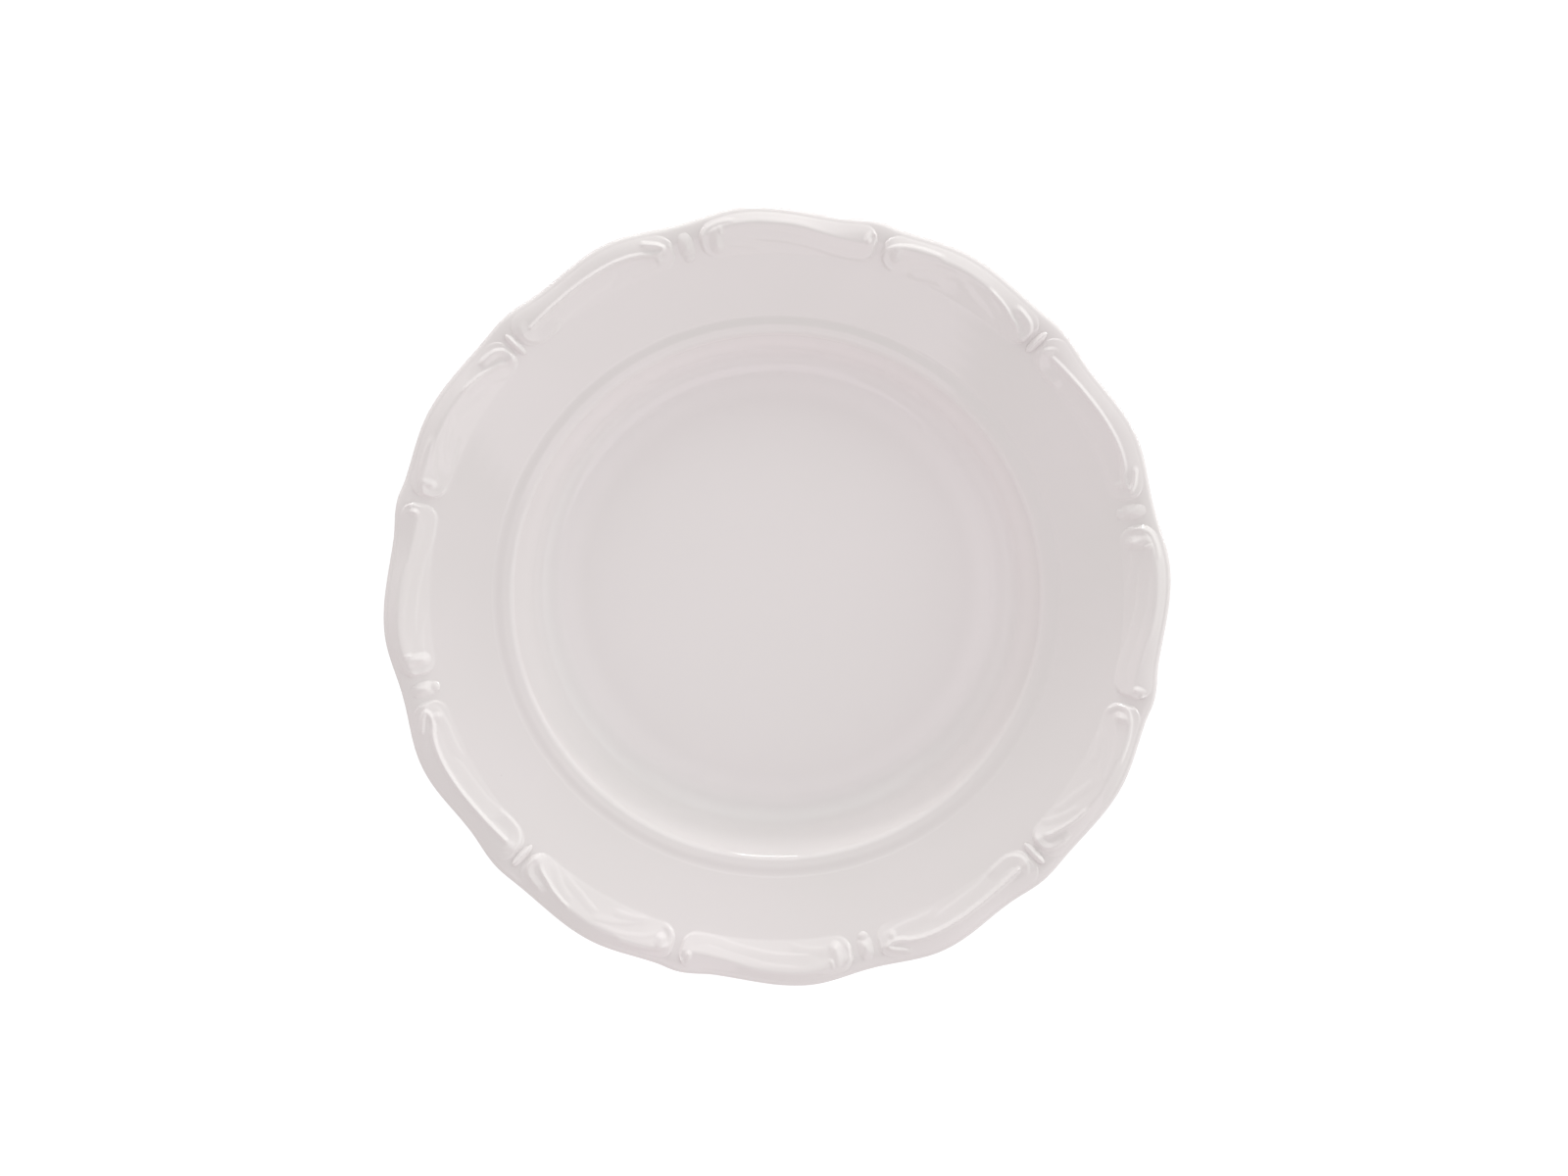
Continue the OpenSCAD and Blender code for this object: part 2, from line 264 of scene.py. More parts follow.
@dataclass(frozen=True)
class PlateForm:
    """Sizes of the plate and the section lines that its zones share."""

    floor_r: float = 66.5
    wall_w: float = 14.8
    well_depth: float = 20.0
    floor_round: float = 10.0
    floor_t: float = 4.6
    wall_t: float = 4.2
    mouth_round: float = 2.8
    bead_h: float = 0.32
    groove_h: float = 0.07
    groove_w: float = 2.6
    under_round: float = 8.0
    rim_w: float = 38.7
    rim_rise: float = 10.0
    flange_t: float = 4.0
    edge_t: float = 3.2
    border_w: float = 14.0
    lip_w: float = 2.2
    roll_w: float = 6.2
    roll_h: float = 1.0
    nose_w: float = 1.25
    lobe_depth: float = 1.1
    foot_h: float = 3.5
    foot_w: float = 4.5
    foot_inset: float = 2.0
    lobes: Places = (
        (-9, -1.04), (4.5, 0.75), (14.5, -1.04), (25.5, 0.88), (37, -1.04), (44, 0.11),
        (49, -0.33), (61, 0.96), (71.5, -0.43), (75, 0.1), (81, -1.04),
    )

    @property
    def mouth_r(self) -> float:
        """Radius of the well's mouth."""
        return self.floor_r + self.wall_w

    @property
    def plate_r(self) -> float:
        """Radius of the middle line of the scalloped edge."""
        return self.mouth_r + self.rim_w

    @property
    def border_r(self) -> float:
        """Radius at which the relief border starts."""
        return self.plate_r - self.border_w

    @property
    def floor_z(self) -> float:
        """Height of the well's floor."""
        return self.foot_h + self.floor_t

    @property
    def mouth_z(self) -> float:
        """Height of the rim's upper face at the mouth."""
        return self.floor_z + self.well_depth

    @property
    def foot_out_r(self) -> float:
        """Outer radius of the foot ring at its root."""
        return self.floor_r - self.foot_inset

    @property
    def foot_in_r(self) -> float:
        """Inner radius of the foot ring at its root."""
        return self.foot_out_r - self.foot_w

    @property
    def rim_slope(self) -> float:
        """Rise of the rim's upper face over its width."""
        return self.rim_rise / self.rim_w

    @property
    def under_slope(self) -> float:
        """Rise of the rim's underside over its width."""
        return self.rim_slope + (self.flange_t - self.edge_t) / self.rim_w

    def rim_z(self, radius: Array) -> Array:
        """Height of the rim's upper face."""
        return self.mouth_z + self.rim_slope * (radius - self.mouth_r)

    def under_z(self, radius: Array) -> Array:
        """Height of the rim's underside."""
        return self.mouth_z - self.flange_t + self.under_slope * (radius - self.mouth_r)

    @property
    def rim_turn(self) -> float:
        """Slope of the rim's upper face, in degrees."""
        return math.degrees(math.atan(self.rim_slope))

    @property
    def under_turn(self) -> float:
        """Slope of the rim's underside, in degrees."""
        return math.degrees(math.atan(self.under_slope))

    @property
    def fillet_c(self) -> Point:
        """Middle of the turn from the floor up into the wall."""
        return (self.floor_r, self.floor_z + self.floor_round)

    @property
    def fillet_turn(self) -> float:
        """Angle on the fillet at which the straight wall starts.

        Returns:
            The angle, in degrees.
        """
        run = (self.mouth_r - self.fillet_c[0], self.mouth_z - self.fillet_c[1])
        reach = math.hypot(*run)
        return math.degrees(math.atan2(run[1], run[0]) - math.acos(self.floor_round / reach))

    @property
    def wall_turn(self) -> float:
        """Slope of the wall, in degrees."""
        return self.fillet_turn + 90

    def on_fillet(self, radius: float) -> Point:
        """The point at which the wall leaves a fillet of this radius."""
        return ahead(self.fillet_c, self.fillet_turn, radius)

    @property
    def wall_top(self) -> Point:
        """The point at which the wall turns into the rounded mouth.

        Returns:
            The point, as (radius, height).
        """
        wall, rim = math.radians(self.wall_turn), math.atan(self.rim_slope)
        lift = self.bead_h - self.mouth_round * (
            math.cos(rim) - math.cos(wall) - self.rim_slope * (math.sin(wall) - math.sin(rim))
        )
        shift = lift / (math.sin(wall) - self.rim_slope * math.cos(wall))
        return ahead((self.mouth_r, self.mouth_z), self.wall_turn, shift)

    @property
    def mouth_c(self) -> Point:
        """Middle of the rounded mouth."""
        return ahead(self.wall_top, self.fillet_turn, self.mouth_round)

    @property
    def bead_r(self) -> float:
        """Radius of the top of the bead line."""
        return self.mouth_c[0] - self.mouth_round * math.sin(math.atan(self.rim_slope))

    @property
    def shoulder_r(self) -> float:
        """Radius at which the groove outside the bead line ends."""
        return self.bead_r + 2 * self.groove_w

    @property
    def back_corner(self) -> Point:
        """Where the back of the wall and the underside of the rim would cross.

        Returns:
            The point, as (radius, height).
        """
        back = self.on_fillet(self.floor_round + self.wall_t)
        wall = math.radians(self.wall_turn)
        closing = math.sin(wall) - self.under_slope * math.cos(wall)
        return ahead(back, self.wall_turn, (self.under_z(back[0]) - back[1]) / closing)

    @property
    def hollow_reach(self) -> float:
        """Length from that crossing to where the hollow under the shoulder starts and ends."""
        return self.under_round * math.tan(math.radians(self.wall_turn - self.under_turn) / 2)

    @property
    def hollow_in(self) -> Point:
        """Where the hollow leaves the back of the wall."""
        return ahead(self.back_corner, self.wall_turn, -self.hollow_reach)

    @property
    def hollow_out(self) -> Point:
        """Where the hollow meets the underside of the rim."""
        return ahead(self.back_corner, self.under_turn, self.hollow_reach)

    @property
    def hollow_c(self) -> Point:
        """Middle of the hollow under the shoulder."""
        return ahead(self.hollow_in, self.fillet_turn, self.under_round)

    def edge_r(self, angle: Array) -> Array:
        """Radius of the scalloped edge.

        Args:
            angle: Angles in degrees.

        Returns:
            The radius at each angle.
        """
        start = self.lobes[0][0]
        turned = start + np.mod(angle - start, QUARTER_TURN)
        return self.plate_r + self.lobe_depth * eased_table(turned, self.lobes)

    @property
    def roll_slope(self) -> float:
        """Slope of the rolled edge where the lip's nose starts, falling outwards."""
        return self.rim_slope - 2 * self.roll_h / (self.roll_w - self.nose_w)

    def top_z(self, radius: Array, angle: Array) -> Array:
        """Height of the bare rim seen from above: its upper face, which rolls over near the edge.

        Args:
            radius: Radii.
            angle: Angles in degrees.

        Returns:
            The height at each place.
        """
        inward = self.edge_r(angle) - radius
        share = np.clip((self.roll_w - inward) / (self.roll_w - self.nose_w), 0, None)
        return self.rim_z(radius) - self.roll_h * share**2


def deselect_all() -> None:
    """Clears the selection, because an operator acts on all that is selected."""
    bpy.ops.object.select_all(action="DESELECT")


def select_only(piece: Piece) -> None:
    """Selects one piece and makes it the active one.

    Args:
        piece: The piece.
    """
    deselect_all()
    piece.select_set(True)
    bpy.context.view_layer.objects.active = piece


def coordinates(piece: Piece) -> Array:
    """Reads where a piece's vertices are.

    Args:
        piece: The piece.

    Returns:
        One row of (x, y, z) for each vertex, in millimetres.
    """
    flat = np.empty(len(piece.data.vertices) * 3)
    piece.data.vertices.foreach_get("co", flat)
    return flat.reshape(-1, 3) / MM


def place_vertices(piece: Piece, places: Array) -> None:
    """Moves each vertex of a piece to its place, in millimetres."""
    piece.data.vertices.foreach_set("co", (places * MM).ravel())
    piece.data.update()


def weld(piece: Piece) -> None:
    """Merges what coincides in a piece, drops loose edges and turns the faces outwards.

    Args:
        piece: The piece.
    """
    select_only(piece)
    bpy.ops.object.mode_set(mode="EDIT")
    bpy.ops.mesh.select_all(action="SELECT")
    bpy.ops.mesh.remove_doubles(threshold=WELD)
    bpy.ops.mesh.delete_loose()
    bpy.ops.mesh.select_all(action="SELECT")
    bpy.ops.mesh.normals_make_consistent(inside=False)
    bpy.ops.object.mode_set(mode="OBJECT")


def spin_section(name: str, section: Section) -> Piece:
    """Spins a closed section once round the plate's axis.

    Args:
        name: Name of the piece.
        section: Its corners in order, as (radius, height).

    Returns:
        The piece, closed.
    """
    deselect_all()
    bpy.ops.mesh.primitive_circle_add(vertices=len(section), radius=MM, fill_type="NOTHING")
    piece = bpy.context.active_object
    piece.name = name
    place_vertices(piece, np.array([(r, 0.0, z) for r, z in section]))
    bpy.ops.object.mode_set(mode="EDIT")
    bpy.ops.mesh.select_all(action="SELECT")
    quarter = math.radians(QUARTER_TURN)
    bpy.ops.mesh.spin(
        steps=SPIN_STEPS // QUARTERS, angle=quarter, center=(0, 0, 0), axis=(0, 0, 1)
    )
    bpy.ops.mesh.select_all(action="SELECT")
    for _ in range(QUARTERS - 1):
        bpy.ops.mesh.duplicate()
        bpy.ops.transform.rotate(value=quarter, orient_axis="Z", center_override=(0, 0, 0))
    bpy.ops.object.mode_set(mode="OBJECT")
    weld(piece)
    return piece


def follow_edge(piece: Piece, section: Array, section_at: Callable[[Array], Array]) -> None:
    """Moves the vertices of a spun piece to the section that it has at each angle.

    Args:
        piece: The spun piece.
        section: The section that was spun, one row of (radius, height) for each corner.
        section_at: Gives that section at an array of angles, as [corner, radius or height, angle].
    """
    places = coordinates(piece)
    radius = np.hypot(places[:, 0], places[:, 1])
    angle = np.degrees(np.arctan2(places[:, 1], places[:, 0]))
    here = np.stack([radius, places[:, 2]], 1)
    corner = np.linalg.norm(here[:, None, :] - section[None, :, :], axis=2).argmin(1)
    moved = section_at(angle)[corner, :, np.arange(len(places))]
    place_vertices(piece, wrap_round(moved[:, 0], angle, moved[:, 1]))


def finish_piece(piece: Piece, node: str, material: Material) -> None:
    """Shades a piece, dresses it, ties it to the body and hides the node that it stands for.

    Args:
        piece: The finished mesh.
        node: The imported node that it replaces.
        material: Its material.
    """
    select_only(piece)
    bpy.ops.object.shade_smooth_by_angle(angle=SMOOTH_ANGLE)
    piece.data.materials.clear()
    piece.data.materials.append(material)
    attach(piece, BODY)
    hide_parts(node)
    log.info("%s: %d faces", piece.name, len(piece.data.polygons))


def add_node(
    tree: Tree,
    kind: str,
    output: str,
    inputs: dict[str | int, Feed] | None = None,
    **settings: str | bool,
) -> Socket:
    """Adds a node to a tree, with its settings made and its inputs fed.

    Args:
        tree: Nodes of a material or of the world.
        kind: The node's type.
        output: Name of the output to give back.
        inputs: For each input, by name or number, a value or the output that it is linked to.
        settings: The node's own options.

    Returns:
        The named output.
    """
    node = tree.nodes.new(kind)
    for option, choice in settings.items():
        setattr(node, option, choice)
    for socket, feed in (inputs or {}).items():
        if isinstance(feed, Socket):
            tree.links.new(feed, node.inputs[socket])
        else:
            node.inputs[socket].default_value = feed
    return node.outputs[output]


def compute(tree: Tree, operation: str, *feeds: Feed, **settings: bool) -> Socket:
    """Works out one value from others."""
    inputs = dict(enumerate(feeds))
    return add_node(tree, "ShaderNodeMath", "Value", inputs, operation=operation, **settings)


def remap(
    tree: Tree,
    value: Socket,
    span: Span,
    levels: Span = (0, 1),
    curve: Curve = Curve.STRAIGHT,
) -> Socket:
    """Goes from one level to another while a value crosses a span.

    Args:
        tree: Nodes of a material or of the world.
        value: The value that is read.
        span: Where the change starts and ends.
        levels: The results before and after it.
        curve: How the result changes between them.

    Returns:
        The result.
    """
    (start, end), (first, last) = span, levels
    feeds = {"Value": value, "From Min": start, "From Max": end, "To Min": first, "To Max": last}
    way = curve.value
    return add_node(tree, "ShaderNodeMapRange", "Result", feeds, interpolation_type=way)


def mix_colours(tree: Tree, share: Socket, first: Feed, second: Feed) -> Socket:
    """Mixes two colours, by a share of the second."""
    feeds = {"Factor": share, "A": first, "B": second}
    return add_node(tree, "ShaderNodeMix", "Result", feeds, data_type="RGBA")


def opaque(colour: Colour) -> tuple[float, ...]:
    """A colour with full cover, as sockets take it."""
    return (*colour, 1.0)


@dataclass(frozen=True)
class GlazeFinish:
    """Clear gloss glaze over white porcelain, with faint turning rings and a few pinholes.

    Its colour is painted lighter in the well, most of all in the turn, at the radii of the painted
    light spans: painted light over the well's shade.
    Lengths and radii are in metres.
    """

    colour: Colour = (0.765, 0.719, 0.723)
    cloudy: Colour = (0.745, 0.708, 0.705)
    cloud_scale: float = 16.0
    cloud_detail: float = 3.0
    cloud_span: Span = (0.35, 0.65)
    # Painted light: a lighter colour laid over the well, strongest in the turn, to lift the shade
    # that falls there.
    painted_light_colour: Colour = (0.89, 0.848, 0.852)
    painted_light_share: float = 0.66
    painted_light_rise: Span = (0.0585, 0.066)
    painted_light_fall: Span = (0.067, 0.071)
    painted_light_end: Span = (0.077, 0.0835)
    roughness: float = 0.07
    roughness_swing: float = 0.2
    ior: float = 1.5
    swell_scale: float = 55.0
    swell_depth: float = 0.00002
    peel_scale: float = 420.0
    peel_depth: float = 0.0000012
    ring_gap: float = 0.0042
    ring_depth: float = 0.0000025
    pinhole_scale: float = 42.0
    pinhole_size: float = 0.0105
    pinhole_colour: Colour = (0.3, 0.29, 0.28)

    def build(self, name: str) -> Material:
        """Builds the material.

        Args:
            name: Name of the material.

        Returns:
            The material, with its nodes.
        """
        material = bpy.data.materials.new(name)
        material.use_nodes = True
        tree = material.node_tree
        shader = tree.nodes["Principled BSDF"].inputs
        shader["IOR"].default_value = self.ior
        place = add_node(tree, "ShaderNodeTexCoord", "Object")

        feeds = {"Vector": place, "Scale": self.cloud_scale, "Detail": self.cloud_detail}
        tone = add_node(tree, "ShaderNodeTexNoise", "Fac", feeds)
        clouds = remap(tree, tone, self.cloud_span)
        body = mix_colours(tree, clouds, opaque(self.colour), opaque(self.cloudy))
        # Paints the well lighter, as painted light over its shade.
        painted_lit_body = mix_colours(tree, self._painted_light(tree, place), body, opaque(self.painted_light_colour))
        feeds = {"Vector": place, "Scale": self.pinhole_scale}
        spot = add_node(tree, "ShaderNodeTexVoronoi", "Distance", feeds)
        pinhole = compute(tree, "LESS_THAN", spot, self.pinhole_size)
        speckled = mix_colours(tree, pinhole, painted_lit_body, opaque(self.pinhole_colour))
        tree.links.new(speckled, shader["Base Color"])

        swing = self.roughness * self.roughness_swing
        levels = (self.roughness - swing, self.roughness + swing)
        tree.links.new(remap(tree, tone, (0, 1), levels), shader["Roughness"])
        tree.links.new(self._surface(tree, place), shader["Normal"])
        return material

    def _radius(self, tree: Tree, place: Socket) -> Socket:
        """Gives the distance from the plate's axis at each place.

        Args:
            tree: Nodes of the material.
            place: Socket that gives the place on the piece.

        Returns:
            The distance.
        """
        feeds = {0: place, 1: (1, 1, 0)}
        flat = add_node(tree, "ShaderNodeVectorMath", "Vector", feeds, operation="MULTIPLY")
        return add_node(tree, "ShaderNodeVectorMath", "Value", {0: flat}, operation="LENGTH")

    def _painted_light(self, tree: Tree, place: Socket) -> Socket:
        """Gives the share of the painted light colour at each place, which lightens the well's
        shade.

        Args:
            tree: Nodes of the material.
            place: Socket that gives the place on the piece.

        Returns:
            The share of painted light, from 0 on the rim to 1 in the turn.
        """
        radius = self._radius(tree, place)
        rise = remap(tree, radius, self.painted_light_rise, (self.painted_light_share, 1), Curve.EASED)
        fall = remap(tree, radius, self.painted_light_fall, (1, self.painted_light_share), Curve.EASED)
        end = remap(tree, radius, self.painted_light_end, (1, 0), Curve.EASED)
        return compute(tree, "MULTIPLY", compute(tree, "MULTIPLY", rise, fall), end)

    def _surface(self, tree: Tree, place: Socket) -> Socket:
        """Adds the glaze's swell, peel and turning rings.

        Args:
            tree: Nodes of the material.
            place: Socket that gives the place on the piece.

        Returns:
            The normal.
        """
        under = {}
        for scale, depth in (
            (self.swell_scale, self.swell_depth),
            (self.peel_scale, self.peel_depth),
        ):
            feeds = {"Vector": place, "Scale": scale, "Detail": 1.0}
            noise = add_node(tree, "ShaderNodeTexNoise", "Fac", feeds)
            feeds = {"Distance": depth, "Height": noise, **under}
            under = {"Normal": add_node(tree, "ShaderNodeBump", "Normal", feeds)}
        per_metre = 2 * math.pi / self.ring_gap
        turns = compute(tree, "MULTIPLY", self._radius(tree, place), per_metre)
        feeds = {"Distance": self.ring_depth, "Height": compute(tree, "SINE", turns), **under}
        return add_node(tree, "ShaderNodeBump", "Normal", feeds)


@dataclass(frozen=True)
class BiscuitFinish:
    """Bare matt porcelain on the face of the foot ring, glazed above a slightly wavy line."""

    glaze_colour: Colour = (0.772, 0.725, 0.728)
    bare_colour: Colour = (0.66, 0.61, 0.54)
    bare_shade: float = 0.9
    glaze_line: Span = (0.0002, 0.0003)
    line_wander: float = 0.0006
    wander_scale: float = 60.0
    grain_scale: float = 1500.0
    grain_detail: float = 4.0
    grain_depth: float = 0.00002
    bare_roughness: float = 0.75
    glaze_roughness: float = 0.12

    def build(self, name: str) -> Material:
        """Builds the material.

        Args:
            name: Name of the material.

        Returns:
            The material, with its nodes.
        """
        material = bpy.data.materials.new(name)
        material.use_nodes = True
        tree = material.node_tree
        shader = tree.nodes["Principled BSDF"].inputs
        place = add_node(tree, "ShaderNodeTexCoord", "Object")
        feeds = {"Vector": place, "Scale": self.wander_scale}
        wander = add_node(tree, "ShaderNodeTexNoise", "Fac", feeds)
        height = add_node(tree, "ShaderNodeSeparateXYZ", "Z", {"Vector": place})
        line = compute(tree, "MULTIPLY_ADD", wander, -self.line_wander, height)
        glazed = remap(tree, line, self.glaze_line)
        feeds = {"Vector": place, "Scale": self.grain_scale, "Detail": self.grain_detail}
        grain = add_node(tree, "ShaderNodeTexNoise", "Fac", feeds)
        shaded = tuple(part * self.bare_shade for part in self.bare_colour)
        bare = mix_colours(tree, grain, opaque(self.bare_colour), opaque(shaded))
        colour = mix_colours(tree, glazed, bare, opaque(self.glaze_colour))
        tree.links.new(colour, shader["Base Color"])
        rough = remap(tree, glazed, (0, 1), (self.bare_roughness, self.glaze_roughness))
        tree.links.new(rough, shader["Roughness"])
        feeds = {"Distance": self.grain_depth, "Height": grain}
        tree.links.new(add_node(tree, "ShaderNodeBump", "Normal", feeds), shader["Normal"])
        return material


@dataclass
class Well:
    """The well: its flat floor, the turn up from it and the straight wall."""

    form: PlateForm
    turn_steps: int = 40
    corner_w: float = 1.0

    def build(self, glaze: Material) -> None:
        """Builds the three zones of the well.

        Args:
            glaze: Material of all three.
        """
        for node, section in (
            ("well_floor", self._floor()),
            ("well_turn", self._turn()),
            ("well_wall", self._wall()),
        ):
            finish_piece(spin_section(f"{node}_glazed", section), node, glaze)

    def _floor(self) -> Section:
        """Draws the floor, from its middle underneath round to its middle on top.

        Returns:
            The section.
        """
        form = self.form
        outer_z = form.floor_z - form.wall_t
        return [
            (0, form.foot_h),
            *guarded((form.foot_in_r - self.corner_w, form.foot_h), (form.foot_in_r, form.foot_h)),
            (form.foot_out_r, outer_z),
            (form.floor_r, outer_z),
            (form.floor_r, form.floor_z),
            (form.floor_r - SEAM_GUARD, form.floor_z),
            (form.floor_r / 2, form.floor_z),
            (0, form.floor_z),
        ]

    def _turn(self) -> Section:
        """Draws the turn, along its upper face and back along its underside.

        Returns:
            The section.
        """
        form, steps = self.form, self.turn_steps
        thick_round = form.floor_round + form.wall_t
        upper = arc(form.fillet_c, form.floor_round, -90, form.fillet_turn, steps)
        lower = arc(form.fillet_c, thick_round, form.fillet_turn, -90, steps)
        return [
            *between_seams(upper, 0, form.wall_turn),
            *between_seams(lower, form.wall_turn + 180, 180),
        ]

    def _wall(self) -> Section:
        """Section of the wall, up its inner face and down its back."""
        form = self.form
        return [
            *guarded(form.on_fillet(form.floor_round), form.wall_top),
            *guarded(form.hollow_in, form.on_fillet(form.floor_round + form.wall_t)),
        ]


@dataclass
class Shoulder:
    """The rounded mouth with its bead line, the groove outside it and the hollow beneath."""

    form: PlateForm
    mouth_steps: int = 24
    groove_steps: int = 40
    hollow_steps: int = 32
    fall_span: Span = (0.24, 0.84)

    def build(self, glaze: Material) -> None:
        """Builds the shoulder.

        Args:
            glaze: Its material.
        """
        form = self.form
        over, wall, under = form.rim_turn, form.wall_turn, form.under_turn
        mouth = arc(form.mouth_c, form.mouth_round, wall + 90, over + 90, self.mouth_steps)
        radii = np.linspace(form.bead_r, form.shoulder_r, self.groove_steps + 1)[1:]
        groove = [(float(r), float(self._groove_z(r))) for r in radii]
        hollow = arc(form.hollow_c, form.under_round, under + 90, wall + 90, self.hollow_steps)
        section = [
            *between_seams(mouth + groove, wall, over),
            *between_seams(hollow, under + 180, wall + 180),
        ]
        finish_piece(spin_section("shoulder_glazed", section), "shoulder", glaze)

    def _groove_z(self, radius: float) -> float:
        """Height of the upper face, from the bead line out across the groove.

        Args:
            radius: Where it is asked.

        Returns:
            The height there.
        """
        form = self.form
        share = (radius - form.bead_r) / (form.shoulder_r - form.bead_r)
        start, end = self.fall_span
        fall = ease((share - start) / (end - start))
        rise = ease((share - end) / (1 - end))
        return form.rim_z(radius) + form.bead_h * (1 - fall) - form.groove_h * (fall - rise)


@dataclass
class Rim:
    """The rim: its plain flange, the border that carries the relief, and the scalloped lip."""

    form: PlateForm
    roll_steps: int = 12
    lip_steps: int = 4
    nose_steps: int = 20
    nose_at: float = 0.52
    joint_gap: float = 0.2
    search_steps: int = 2001

    def build(self, glaze: Material) -> None:
        """Builds the flange, the border and the lip.

        Args:
            glaze: Material of all three.
        """
        form = self.form
        inner, outer = form.shoulder_r, form.border_r
        flange = [
            *guarded((inner, form.rim_z(inner)), (outer, form.rim_z(outer))),
            *guarded((outer, form.under_z(outer)), form.hollow_out),
        ]
        finish_piece(spin_section("rim_flange_glazed", flange), "rim_flange", glaze)
        for node, section_at in (("rim_border", self._border_at), ("edge_lip", self._lip_at)):
            section = section_at(np.array([self._mean_angle()]))[:, :, 0]
            piece = spin_section(f"{node}_glazed", [tuple(map(float, row)) for row in section])
            follow_edge(piece, section, section_at)
            finish_piece(piece, node, glaze)

    def _mean_angle(self) -> float:
        """Finds where the edge crosses its middle line.

        Returns:
            The angle, in degrees.
        """
        form = self.form
        angles = np.linspace(form.lobes[0][0], form.lobes[1][0], self.search_steps)
        return float(angles[np.abs(form.edge_r(angles) - form.plate_r).argmin()])

    def _border_at(self, angle: Array) -> Array:
        """Draws the border as it is at each angle.

        Args:
            angle: Angles in degrees.

        Returns:
            The section at each of them, as [corner, radius or height, angle].
        """
        form = self.form
        edge = form.edge_r(angle)
        inner, outer = np.full(len(angle), form.border_r), edge - form.lip_w
        widths = np.linspace(form.roll_w, form.lip_w + self.joint_gap, self.roll_steps)
        rolled = [edge - width for width in widths]
        radii = [inner, inner + SEAM_GUARD, *rolled, outer - SEAM_GUARD, outer]
        top = [np.stack([r, form.top_z(r, angle)]) for r in radii]
        bottom = [np.stack([r, form.under_z(r)]) for r in reversed(radii)]
        return np.stack(top + bottom)

    def _lip_at(self, angle: Array) -> Array:
        """Draws the lip as it is at each angle.

        Args:
            angle: Angles in degrees.

        Returns:
            The section at each of them, as [corner, radius or height, angle].
        """
        form = self.form
        edge = form.edge_r(angle)
        inner, nose_r = edge - form.lip_w, edge - form.nose_w
        near = inner + SEAM_GUARD
        gap = self.joint_gap
        widths = np.linspace(form.lip_w - gap, form.nose_w + gap, self.lip_steps)
        radii = [inner, near, *(edge - width for width in widths)]
        top_z, bottom_z = form.top_z(nose_r, angle), form.under_z(nose_r)
        tip = np.stack([edge, bottom_z + self.nose_at * (top_z - bottom_z)])
        over = np.stack([edge, top_z + form.roll_slope * form.nose_w])
        below = np.stack([edge, form.under_z(edge)])
        top = conic(np.stack([nose_r, top_z]), over, tip, self.nose_steps)
        bottom = conic(tip, below, np.stack([nose_r, bottom_z]), self.nose_steps)
        return np.stack(
            [
                np.stack([inner, form.under_z(inner)]),
                *(np.stack([r, form.top_z(r, angle)]) for r in radii),
                *top,
                *bottom[1:],
                np.stack([near, form.under_z(near)]),
            ]
        )


@dataclass
class Foot:
    """The foot ring, with a small fillet at each root and a rounded, bare face."""

    form: PlateForm
    face_w: float = 2.4
    face_round: float = 0.5
    root_round: float = 1.0
    steps: int = 10

    def build(self, biscuit: Material) -> None:
        """Builds the foot ring.

        Args:
            biscuit: Its material, bare at the face and glazed above.
        """
        form = self.form
        lean = math.degrees(math.atan2(form.foot_w / 2 - self.face_w / 2, form.foot_h))
        middle = form.foot_in_r + form.foot_w / 2
        reach = self.face_round * math.tan(math.radians((90 - lean) / 2))
        inner_c = (middle - self.face_w / 2 + reach, self.face_round)
        outer_c = (middle + self.face_w / 2 - reach, self.face_round)
        root = self.root_round * math.tan(math.radians((90 - lean) / 2))
        outer_z = form.floor_z - form.wall_t
        side = math.tan(math.radians(lean))
        inner_root = (form.foot_in_r - root, form.foot_h - self.root_round)
        outer_x = form.foot_out_r + (outer_z - form.foot_h) * side
        outer_root = (outer_x + root, outer_z - self.root_round)
        section = [
            *arc(inner_root, self.root_round, 90, lean, self.steps),
            *arc(inner_c, self.face_round, 180 + lean, 270, self.steps),
            *arc(outer_c, self.face_round, 270, 360 - lean, self.steps),
            *arc(outer_root, self.root_round, 180 - lean, 90, self.steps),
            (form.foot_out_r, outer_z),
            (form.foot_in_r, form.foot_h),
        ]
        finish_piece(spin_section("foot_ring_bare", section), "foot_ring", biscuit)


@dataclass(frozen=True)
class Ridge:
    """A ridge drawn on the border: a line of (angle, share of the border's width).

    Its height and half width are in millimetres, and it tapers away over a length at each end.
    A crisp ridge has straight sides, and the others are rounded all over. A ridge with a run-out
    falls away over that width on the left of its line, like a step.
    """

    line: Places
    height: float
    half_width: float = 1.1
    taper: float = 3.0
    crisp: bool = False
    run_out: float = 0.0


@dataclass(frozen=True)
class Knob:
    """A small round knob on the border: its place, radius and height."""

    place: Point
    radius: float
    height: float


@dataclass(frozen=True)
class ScrollDesign:
    """One kind of scroll: where it starts and ends, its crest, its ridges and its knobs.

    The inner power shapes the rise to the crest: 1 is straight, and more keeps it low for longer.
    """

    letter: str
    start: float
    end: float
    crest: Places
    crest_h: float
    inner_power: float
    ridges: tuple[Ridge, ...]
    knobs: tuple[Knob, ...]


